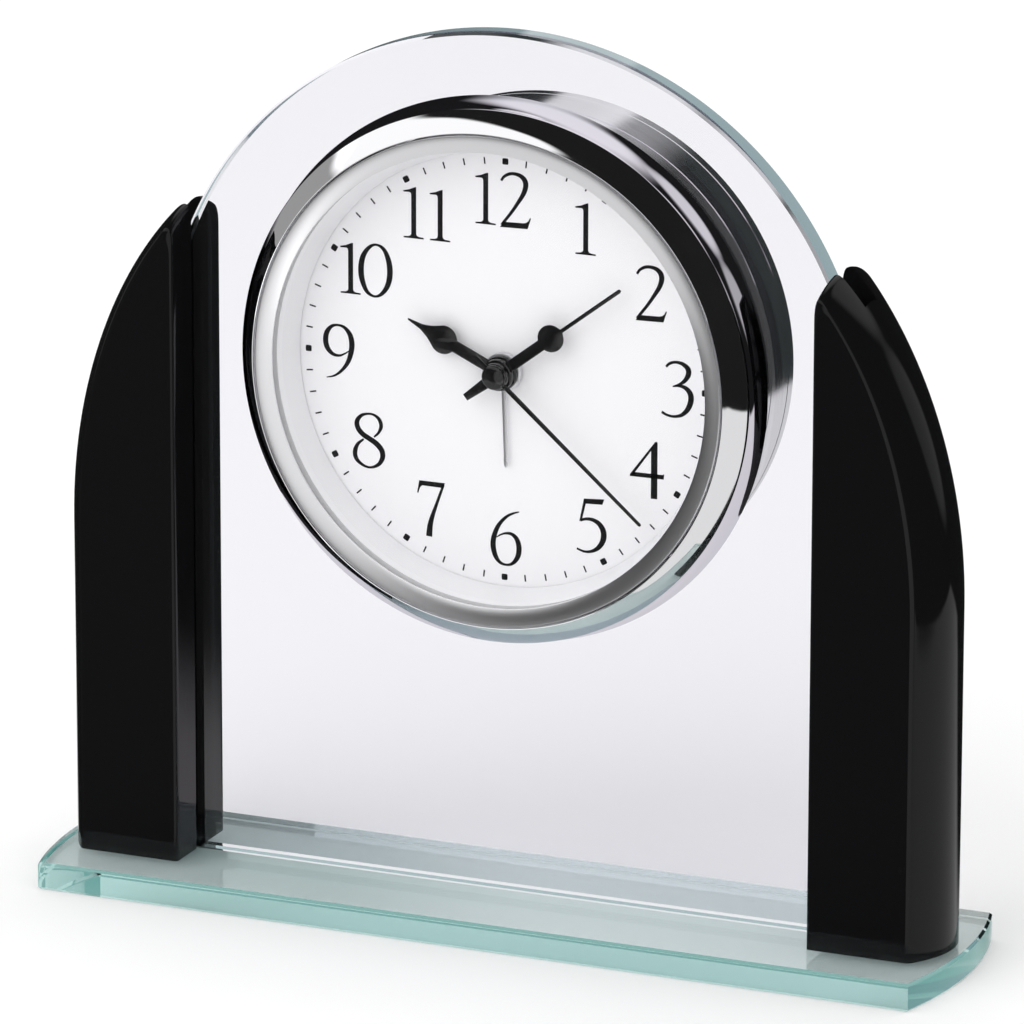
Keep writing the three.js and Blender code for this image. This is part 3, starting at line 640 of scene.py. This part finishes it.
# Strokes are (x, z, width) along the pen's path, and shapes are straight-sided, both in millimetres.
DIGITS = {
    "1": {"shapes": [[
        (0.47, 4.5), (0.47, -3.85), (0.62, -4.12), (0.95, -4.28), (1.88, -4.36), (1.88, -4.62),
        (-1.88, -4.62), (-1.88, -4.36), (-0.95, -4.28), (-0.6, -4.12), (-0.45, -3.85),
        (-0.45, 3.05), (-0.55, 3.4), (-0.8, 3.52), (-1.9, 3.5), (-1.95, 3.74), (-0.9, 3.98),
        (0.1, 4.42),
    ]]},
    "2": {
        "strokes": [[
            (-2.8, 3.35, 0.42), (-2.3, 4.1, 0.5), (-1.3, 4.68, 0.56), (-0.2, 4.78, 0.6), (0.9, 4.45, 0.78),
            (1.6, 3.7, 0.95), (1.72, 2.7, 0.95), (1.3, 1.4, 0.82), (0.4, -0.1, 0.66), (-0.8, -1.9, 0.56),
            (-2.1, -3.6, 0.52), (-2.75, -4.45, 0.5),
        ]],
        "shapes": [[
            (-3.02, -4.82), (2.1, -4.7), (2.74, -2.75), (2.5, -2.75), (2.25, -3.3), (1.85, -3.62),
            (1.3, -3.75), (-2.35, -3.85),
        ]],
    },
    "3": {"strokes": [
        [
            (-2.15, 3.85, 0.42), (-1.5, 4.5, 0.5), (-0.4, 4.85, 0.5), (0.9, 4.65, 0.7), (1.85, 3.9, 0.95),
            (1.95, 2.9, 0.95), (1.3, 1.75, 0.72), (0.3, 1.0, 0.45), (-0.9, 0.52, 0.2),
        ],
        [
            (-0.9, 0.5, 0.2), (0.2, 0.72, 0.45), (1.4, 0.5, 0.75), (2.3, -0.4, 0.98), (2.45, -1.7, 1.02),
            (1.9, -3.2, 0.9), (0.8, -4.35, 0.66), (-0.6, -4.78, 0.48), (-1.9, -4.65, 0.45),
            (-2.9, -4.2, 0.5),
        ],
    ]},
    "4": {"shapes": [
        [(0.6, -4.95), (1.78, -4.95), (1.78, 5.1), (1.62, 5.25), (1.3, 5.15), (0.6, 4.2)],
        [(1.3, 5.15), (0.85, 3.9), (-2.35, -0.55), (-2.3, -1.0), (-3.3, -1.0)],
        [(-3.3, -1.0), (-3.3, -1.35), (2.95, -1.3), (3.05, -0.35), (2.7, -0.52), (-2.4, -0.55)],
    ]},
    "5": {
        "strokes": [[
            (-2.45, 0.85, 0.45), (-1.4, 1.22, 0.52), (-0.1, 1.18, 0.68), (1.1, 0.55, 0.9),
            (1.85, -0.7, 1.06), (1.8, -2.2, 1.02), (1.0, -3.6, 0.82), (-0.3, -4.45, 0.56),
            (-1.7, -4.65, 0.42), (-3.1, -4.25, 0.34),
        ]],
        "shapes": [
            [(-1.8, 4.82), (1.98, 5.08), (1.62, 4.1), (-1.5, 3.96)],
            [(-1.8, 4.82), (-1.35, 4.4), (-2.12, 1.15), (-2.66, 0.62)],
        ],
    },
    "6": {"strokes": [
        [
            (2.5, 5.0, 0.2), (1.4, 4.62, 0.38), (0.1, 3.85, 0.52), (-1.2, 2.4, 0.7), (-2.05, 0.6, 0.88),
            (-2.38, -1.3, 0.98), (-2.0, -3.2, 0.9), (-1.1, -4.45, 0.6), (0.1, -4.78, 0.42),
            (1.3, -4.4, 0.6),
            (2.25, -3.1, 0.9), (2.5, -1.5, 0.98), (2.1, 0.0, 0.86), (1.2, 0.82, 0.62), (0.1, 0.9, 0.42),
            (-0.9, 0.55, 0.3), (-1.7, 0.0, 0.2),
        ],
    ]},
    "7": {
        "strokes": [[
            (2.38, 4.6, 0.46), (1.75, 2.9, 0.5), (1.0, 0.8, 0.58), (0.3, -1.2, 0.78), (-0.15, -3.0, 1.0),
            (-0.33, -4.95, 1.15),
        ]],
        "shapes": [
            [(-2.2, 4.95), (2.65, 4.95), (2.3, 4.05), (-1.7, 4.1)],
            [(-2.2, 4.95), (-1.6, 4.12), (-2.0, 3.75), (-2.2, 3.3), (-2.35, 2.7), (-2.6, 2.7)],
        ],
    },
    "8": {"strokes": [[
        (0.85, 0.75, 0.3), (1.7, 1.6, 0.48), (2.2, 2.8, 0.7), (1.85, 4.0, 0.66), (0.9, 4.7, 0.46),
        (-0.2, 4.82, 0.4), (-1.5, 4.4, 0.6), (-2.35, 3.3, 0.86), (-2.2, 2.1, 0.95), (-1.3, 1.05, 0.95),
        (0.0, 0.35, 0.95), (1.3, -0.4, 1.0), (2.3, -1.5, 1.0), (2.45, -2.8, 0.92), (1.7, -4.1, 0.66),
        (0.2, -4.8, 0.42), (-1.3, -4.5, 0.52), (-2.5, -3.5, 0.76), (-2.75, -2.2, 0.84), (-2.2, -0.8, 0.6),
        (-1.1, 0.15, 0.35),
    ]]},
    "9": {"strokes": [
        [
            (1.7, 0.35, 0.2), (0.9, -0.2, 0.3), (-0.1, -0.62, 0.44), (-1.3, -0.45, 0.66), (-2.3, 0.5, 0.92),
            (-2.68, 1.9, 1.0), (-2.4, 3.4, 0.9), (-1.5, 4.5, 0.6), (-0.3, 4.82, 0.42), (0.9, 4.5, 0.6),
            (1.9, 3.4, 0.9), (2.3, 1.8, 1.02), (2.1, 0.0, 0.95), (1.5, -1.7, 0.76), (0.4, -3.2, 0.55),
            (-1.0, -4.3, 0.36), (-2.5, -4.75, 0.16),
        ],
    ]},
    "0": {"loops": [[
        (0.15, 4.62, 0.42), (-1.2, 4.0, 0.66), (-2.3, 2.4, 0.94), (-2.72, 0.3, 1.06), (-2.5, -1.9, 1.0),
        (-1.6, -3.9, 0.7), (-0.15, -4.62, 0.42), (1.2, -4.0, 0.66), (2.3, -2.4, 0.94), (2.72, -0.3, 1.06),
        (2.5, 1.9, 1.0), (1.6, 3.9, 0.7),
    ]]},
}
# What is printed at each hour, as (digit, x, z) from the dial's centre.
HOURS = [
    ("1", -3.65, 30.2), ("2", 2.05, 30.2), ("1", 14.9, 26.7), ("2", 27.2, 16.4), ("3", 32.0, 0.1),
    ("4", 26.6, -14.8), ("5", 16.6, -26.0), ("6", 0.2, -30.0), ("7", -13.9, -26.4), ("8", -25.5, -15.4),
    ("9", -31.1, -0.1), ("1", -29.0, 15.2), ("0", -24.3, 15.2), ("1", -17.1, 26.3), ("1", -12.15, 26.3),
]
TICK_R = 37.0


def ribbon_data(points, at, closed):
    """A flat pen stroke of changing width, as a thin closed strip."""
    path = smooth_path(points, 7, closed)
    count = len(path)
    vertices = []
    for i, point in enumerate(path):
        after = path[(i + 1) % count] if closed or i + 1 < count else point
        before = path[i - 1] if closed or i > 0 else point
        along = Vector((after[0] - before[0], after[1] - before[1])).normalized()
        across = Vector((-along.y, along.x)) * point[2] / 2
        for side, depth in ((1, -PRINT_T), (-1, -PRINT_T), (-1, 0), (1, 0)):
            u = at[0] + point[0] + side * across.x
            v = at[1] + point[1] + side * across.y
            vertices.append(on_dial(u, v, DIAL_Y + depth))
    faces = []
    for i in range(count if closed else count - 1):
        a, b = 4 * i, 4 * ((i + 1) % count)
        faces.extend([a + k, a + (k + 1) % 4, b + (k + 1) % 4, b + k] for k in range(4))
    if not closed:
        faces.extend([[0, 1, 2, 3], [4 * count - 4 + k for k in range(4)]])
    return vertices, faces


def printed(outline):
    return slab_data([outline], [(DIAL_Y - PRINT_T, 0), (DIAL_Y, 0)], on_dial)


def make_dial_print():
    parts = []
    for digit, x, z in HOURS:
        drawing = DIGITS[digit]
        for points in drawing.get("strokes", []):
            parts.append(ribbon_data(points, (x, z), False))
        for points in drawing.get("loops", []):
            parts.append(ribbon_data(points, (x, z), True))
        for outline in drawing.get("shapes", []):
            parts.append(printed([moved((x, z), point) for point in outline]))
    for minute in range(60):
        if minute % 5:
            low, high = TICK_R - 0.6, TICK_R + 0.6
            mark = [(-0.13, low), (0.13, low), (0.13, high), (-0.13, high)]
        else:
            mark = [
                (0.55, TICK_R - 0.4), (0.55, TICK_R + 0.4), (0.4, TICK_R + 0.55), (-0.4, TICK_R + 0.55),
                (-0.55, TICK_R + 0.4), (-0.55, TICK_R - 0.4), (-0.4, TICK_R - 0.55), (0.4, TICK_R - 0.55),
            ]
        parts.append(printed(turned_clockwise(mark, 6 * minute)))
    add_object("dial_marks", *joined(*parts), PRINT, ROOT, None, "dial_print", sharp=20)


make_dial_print()


# ---------------------------------------------------------------- hands
def mirrored(half):
    return half + [(-u, v) for u, v in half[::-1]]


def arc(centre, radius, start, end, steps):
    """Points round a bulb, in degrees clockwise from its lower end."""
    points = []
    for i in range(steps + 1):
        angle = math.radians(start + (end - start) * i / steps)
        points.append((radius * math.sin(angle), centre - radius * math.cos(angle)))
    return points


def make_hand(node, body, outline, hub, bore, blade_front, degrees, look, slot):
    """A pressed hand with rounded edges on a turned hub."""
    blade = slab_data(
        [turned_clockwise(outline, degrees)],
        round_rows(blade_front, blade_front + 0.3, 0.12), on_dial,
    )
    radius, front, back = hub
    boss = [
        (bore, front + 0.1), (bore + 0.1, front), (radius - 0.35, front), (radius - 0.1, front + 0.1),
        (radius, front + 0.35), (radius, back - 0.05), (radius - 0.05, back), (bore, back),
    ]
    vertices, faces = joined(blade, lathe_data(boss, 96))
    add_object(node + "_shaped", vertices, faces, look, body, node, slot, sharp=40)


make_hand(
    "alarm_hand", "alarm", mirrored([(0.35, 2.6), (0.35, 16.6), (0.2, 17.0)]),
    (3.4, -4.5, -3.6), 2.3, -4.2, ALARM_ANGLE, HAND_SILVER, "steel",
)
make_hand(
    "hour_hand", "hours",
    mirrored([(1.1, 1.9), (1.1, 9.4)] + arc(11.7, 2.55, 25, 115, 16) + [
        (2.05, 13.15), (1.6, 13.85), (1.15, 14.6), (0.82, 15.4), (0.5, 16.3), (0.15, 19.0),
    ]),
    (3.1, -5.7, -4.9), 1.6, -5.4, HOUR_ANGLE, HAND_BLACK, "black_paint",
)
make_hand(
    "minute_hand", "minutes",
    [(0.65, -7.6), (1.0, -2.0), (1.0, 10.2)] + arc(12.4, 2.4, 25, 155, 24)
    + [(0.35, 14.9), (0.35, 28.3), (0.2, 28.6), (-0.2, 28.6), (-0.35, 28.3), (-0.35, 14.9)]
    + arc(12.4, 2.4, -155, -25, 24) + [(-1.0, 10.2), (-1.0, -2.0), (-0.65, -7.6)],
    (2.8, -6.9, -6.0), 1.0, -6.6, MINUTE_ANGLE, HAND_BLACK, "black_paint",
)
make_hand(
    "second_hand", "seconds", mirrored([(0.42, -5.0), (0.45, 2.0), (0.3, 35.6), (0.15, 35.9)]),
    (2.4, -8.0, -7.2), 0.45, -7.8, SECOND_ANGLE, HAND_BLACK, "black_paint",
)
CAP = [(0, -9.0)] + [
    (2.2 * math.sin(math.radians(7.5 * i)), -8.25 - 0.75 * math.cos(math.radians(7.5 * i)))
    for i in range(1, 13)
] + [(2.2, -8.1), (0, -8.1)]
add_object(
    "hand_cap_domed", *lathe_data(CAP, 96), HAND_BLACK, "seconds", "hand_cap", "black_paint", sharp=50,
)


# ---------------------------------------------------------------- back of the head
def rod_data(radius, y0, y1, at=(0, 0), sides=48):
    return lathe_data([(0, y0), (radius, y0), (radius, y1), (0, y1)], sides, at)


def make_back_cover():
    disc = [(0, COVER_Y - 2), (COVER_R, COVER_Y - 2)]
    for i in range(7):
        angle = math.radians(15 * i)
        disc.append((COVER_R - 0.6 + 0.6 * math.cos(angle), COVER_Y - 0.6 + 0.6 * math.sin(angle)))
    disc += [(41.2, COVER_Y), (41.0, COVER_Y - 0.25), (40.6, COVER_Y - 0.25), (40.4, COVER_Y), (0, COVER_Y)]
    cover = add_object("back_cover_moulded", *lathe_data(disc, 192), BLACK_PLASTIC, None)
    tools = [
        head_box(-28.2, 28.2, COVER_Y - 1.2, COVER_Y + 1, -60, -12.3),
        head_box(-26, 26, COVER_Y - 3, COVER_Y - 1.1, -28.2, -13.2),
        head_box(-19.0, -12.2, COVER_Y - 3, COVER_Y + 1, -4.4, -1.6),
        rod_data(1.1, COVER_Y - 3, COVER_Y + 1, TIME_AT, 24),
        rod_data(1.1, COVER_Y - 3, COVER_Y + 1, ALARM_AT, 24),
    ]
    for place in COVER_SCREWS.values():
        tools.append(rod_data(1.6, COVER_Y - 3, COVER_Y - 1.2, place, 24))
        tools.append(rod_data(2.9, COVER_Y - 1.3, COVER_Y + 1, place))
    for i in range(-2, 3):
        tools.append(head_box(-22, -10, COVER_Y - 3, COVER_Y + 1, 15.4 + 3 * i, 16.6 + 3 * i))
    boolean_cut(cover, *joined(*tools))
    settle(cover, ROOT, "back_cover")


def make_battery_door():
    radius = COVER_R - 0.2
    half = 27.9
    corner = math.asin(half / radius)
    steps = 40
    outline = [(half, -12.6), (-half, -12.6)]
    for i in range(steps + 1):
        angle = -corner + 2 * corner * i / steps
        outline.append((radius * math.sin(angle), -radius * math.cos(angle)))
    parts = [slab_data([outline], round_rows(COVER_Y - 1.0, COVER_Y, 0.2, 2), on_dial)]
    for i in range(4):
        z = -17 - 2.2 * i
        rib = [(-6.9, z - 0.5), (6.9, z - 0.5), (7.0, z), (6.9, z + 0.5), (-6.9, z + 0.5), (-7.0, z)]
        rows = [(COVER_Y - 0.5, 0), (COVER_Y + 0.3, 0), (COVER_Y + 0.5, 0.2)]
        parts.append(slab_data([rib], rows, on_dial))
    arrow = [(0, -29.4), (2.6, -26.4), (-2.6, -26.4)]
    parts.append(slab_data([arrow], [(COVER_Y - 0.5, 0), (COVER_Y + 0.25, 0.1)], on_dial))
    add_object(
        "battery_door_ribbed", *joined(*parts), BLACK_PLASTIC, "door", "battery_door", "black_plastic",
    )


def make_switch():
    x, z = -17.6, -3.0
    plate_outline = [(x - 2.4, z - 2.6), (x + 2.4, z - 2.6), (x + 2.4, z + 2.6), (x - 2.4, z + 2.6)]
    stem = [(x - 1, z - 1.1), (x + 1, z - 1.1), (x + 1, z + 1.1), (x - 1, z + 1.1)]
    parts = [
        slab_data([plate_outline], [(COVER_Y - 3.2, 0), (COVER_Y - 2.3, 0)], on_dial),
        slab_data([stem], [(COVER_Y - 2.6, 0), (COVER_Y + 0.6, 0)], on_dial),
    ]
    button = [(x - 2.2, z - 2.2), (x + 2.2, z - 2.2), (x + 2.2, z + 2.2), (x - 2.2, z + 2.2)]
    parts.append(slab_data([button], round_rows(COVER_Y + 0.3, COVER_Y + 1.4, 0.25, 2), on_dial))
    for i in range(-1, 2):
        u = x + 1.2 * i
        rib = [(u - 0.3, z - 1.9), (u + 0.3, z - 1.9), (u + 0.3, z + 1.9), (u - 0.3, z + 1.9)]
        rows = [(COVER_Y + 1.2, 0), (COVER_Y + 1.65, 0), (COVER_Y + 1.8, 0.12)]
        parts.append(slab_data([rib], rows, on_dial))
    add_object(
        "alarm_switch_ribbed", *joined(*parts), GREY_PLASTIC, "switch", "alarm_switch", "grey_plastic",
    )


def make_knob(node, body, radius, height, at):
    """A knurled knob with a dished face."""
    ribs = 24
    outline = []
    for i in range(ribs):
        step = 360 / ribs
        for share, depth in ((0.0, 0.0), (0.25, 0.0), (0.5, 0.0), (0.62, 0.4), (0.88, 0.4)):
            outline.append(moved(at, polar(radius - depth, (i + share) * step)))
    start = COVER_Y + 0.4
    dish = circle(radius * 0.62, 48, at)
    parts = [
        slab_data([outline], [(start, 0.1), (start + 0.2, 0), (start + height - 0.7, 0)], on_dial),
        slab_data(
            [outline, dish],
            [(start + height - 0.7, 0), (start + height - 0.25, 0), (start + height, 0.2)], on_dial,
        ),
    ]
    add_object(node + "_knurled", *joined(*parts), BLACK_PLASTIC, body, node, "black_plastic", sharp=30)


def make_cover_screw(name, at):
    head = [
        slab_data(
            [circle(2.5, 48, at), cross_outline(1.35, 0.32, at)],
            [(COVER_Y - 0.7, 0), (COVER_Y - 0.35, 0), (COVER_Y - 0.2, 0.15)], on_dial,
        ),
        rod_data(2.5, COVER_Y - 1.1, COVER_Y - 0.7, at),
        rod_data(1.2, 8, COVER_Y - 1.0, at, 24),
    ]
    add_object(name + "_cross", *joined(*head), STEEL, ROOT, name, "steel")


make_back_cover()
make_battery_door()
make_switch()
make_knob("time_set_knob", "time_setting", 5.0, 3.8, TIME_AT)
make_knob("alarm_set_knob", "alarm_setting", 4.4, 3.2, ALARM_AT)
for screw_name, screw_at in COVER_SCREWS.items():
    make_cover_screw("cover_screw_" + screw_name, screw_at)


# ---------------------------------------------------------------- studio, in metres
FLOOR_R = 12.0
BACKDROP = 0.985
ROOM_DARK = 0.012


def make_floor():
    floor_look = Look("studio_floor", (0.985, 0.985, 0.985), 0.9, spec=0.0)
    mesh = bpy.data.meshes.new("floor")
    points = [(*polar(FLOOR_R, 5 * i), -0.00002) for i in range(72)]
    mesh.from_pydata(points, [], [list(range(72))])
    mesh.materials.append(floor_look.material)
    floor = bpy.data.objects.new("floor", mesh)
    bpy.context.scene.collection.objects.link(floor)
    floor.visible_glossy = False


# What polished surfaces mirror: (direction, inner and outer angle, strength).
SOFT_BOXES = [
    ((-0.1, 0.66, 0.746), 14, 27, 1.0),
    ((-0.245, 0.914, 0.326), 7.2, 9.0, 0.9),
    ((0.72, 0.66, 0.13), 10, 15, 0.5),
    ((0.5, 0.64, 0.56), 9, 17, 0.8),
    ((0.3, -0.95, -0.15), 28, 37, 0.95),
    ((-0.7, -0.65, -0.25), 10, 26, 0.1),
    ((-0.97, 0.12, 0.18), 14, 20, 0.33),
]
# The lit table as mirrored: how far it reaches to the right, left, back and front, in heights.
TABLE_REACH = ((-1, 0, -3.4), (1, 0, -2.0), (0, -1, -3.0), (0, 1, -2.0))
TABLE_LIGHT = 0.8
# The big overhead sheet: one straight edge runs from the left back to the right front.
SHEET_EDGE = (-0.391, -0.593, -0.312)
SHEET_LIGHT = 1.1
# What a ray sees that never finds its way out of the glass.
DEEP_IN_GLASS = (0.46, 0.6, 0.59)


def make_world():
    """White all round for what is seen or lit, and a dark studio with soft boxes for reflections."""
    world = bpy.data.worlds.new("studio")
    bpy.context.scene.world = world
    world.use_nodes = True
    tree = world.node_tree
    tree.nodes.clear()

    def node(kind, **values):
        made = tree.nodes.new(kind)
        for key, value in values.items():
            setattr(made, key, value)
        return made

    direction = node("ShaderNodeTexCoord").outputs["Generated"]

    def ramp(value, low, high, to_low, to_high):
        made = node("ShaderNodeMapRange", interpolation_type="SMOOTHSTEP")
        for key, number in (("From Min", low), ("From Max", high), ("To Min", to_low), ("To Max", to_high)):
            made.inputs[key].default_value = number
        tree.links.new(value, made.inputs["Value"])
        return made.outputs["Result"]

    def combine(operation, a, b):
        return arithmetic(tree, operation, a, b)

    def along(vector):
        made = node("ShaderNodeVectorMath", operation="DOT_PRODUCT")
        tree.links.new(direction, made.inputs[0])
        made.inputs[1].default_value = vector
        return made.outputs["Value"]

    def beyond(facing, soft):
        """One on the side of a plane through the object that a vector points to."""
        return ramp(along(facing), 0.0, soft, 0, 1)

    def lamp(toward, inner, outer, strength):
        """A soft patch of light round a direction, in degrees."""
        low, high = math.cos(math.radians(outer)), math.cos(math.radians(inner))
        return ramp(along(Vector(toward).normalized()), low, high, 0, strength)

    total = ROOM_DARK
    for toward, inner, outer, strength in SOFT_BOXES:
        total = combine("ADD", total, lamp(toward, inner, outer, strength))
    table = TABLE_LIGHT
    for facing in TABLE_REACH:
        table = combine("MULTIPLY", table, beyond(facing, 0.06))
    height = node("ShaderNodeSeparateXYZ")
    tree.links.new(direction, height.inputs["Vector"])
    overhead = ramp(height.outputs["Z"], 0.36, 0.42, 0, SHEET_LIGHT)
    sheet = combine("MULTIPLY", overhead, beyond(SHEET_EDGE, 0.03))
    total = combine("ADD", combine("ADD", total, table), sheet)
    white = node("ShaderNodeBackground")
    white.inputs["Color"].default_value = (1, 1, 1, 1)
    white.inputs["Strength"].default_value = BACKDROP
    room = node("ShaderNodeBackground")
    room.inputs["Color"].default_value = (1, 1, 1, 1)
    tree.links.new(total, room.inputs["Strength"])
    deep = node("ShaderNodeBackground")
    deep.inputs["Color"].default_value = (*DEEP_IN_GLASS, 1)
    seen = node("ShaderNodeMixShader")
    rays = node("ShaderNodeLightPath")
    tree.links.new(off_a_mirror(tree), seen.inputs["Fac"])
    tree.links.new(white.outputs["Background"], seen.inputs[1])
    tree.links.new(room.outputs["Background"], seen.inputs[2])
    mix = node("ShaderNodeMixShader")
    tree.links.new(combine("MODULO", rays.outputs["Transmission Depth"], 2.0), mix.inputs["Fac"])
    tree.links.new(seen.outputs["Shader"], mix.inputs[1])
    tree.links.new(deep.outputs["Background"], mix.inputs[2])
    tree.links.new(mix.outputs["Shader"], node("ShaderNodeOutputWorld").inputs["Surface"])


def make_lamp(name, place, size, energy):
    data = bpy.data.lights.new(name, "AREA")
    data.shape = "DISK"
    data.size = size
    data.energy = energy
    lamp = bpy.data.objects.new(name, data)
    lamp.location = place
    aim = Vector((0, 0, HEAD_Z * MM)) - Vector(place)
    lamp.rotation_mode = "QUATERNION"
    lamp.rotation_quaternion = aim.to_track_quat("-Z", "Y")
    lamp.visible_glossy = False
    lamp.visible_camera = False
    bpy.context.scene.collection.objects.link(lamp)


def make_camera():
    data = bpy.data.cameras.new("camera")
    data.sensor_width = 36
    data.lens = 310.7
    data.clip_start = 0.05
    data.clip_end = 100
    camera = bpy.data.objects.new("camera", data)
    place = Vector((574.5, -1349.8, 502.7)) * MM
    aim = Vector((0.64, -1.5, 73.9)) * MM - place
    roll = Quaternion((0, 0, 1), math.radians(0.12))
    camera.location = place
    camera.rotation_mode = "QUATERNION"
    camera.rotation_quaternion = aim.to_track_quat("-Z", "Y") @ roll
    bpy.context.scene.collection.objects.link(camera)
    bpy.context.scene.camera = camera


make_floor()
make_world()
make_lamp("key", (-0.45, -1.1, 1.0), 1.5, 7.3)
make_camera()
bpy.context.scene.view_settings.view_transform = "Standard"
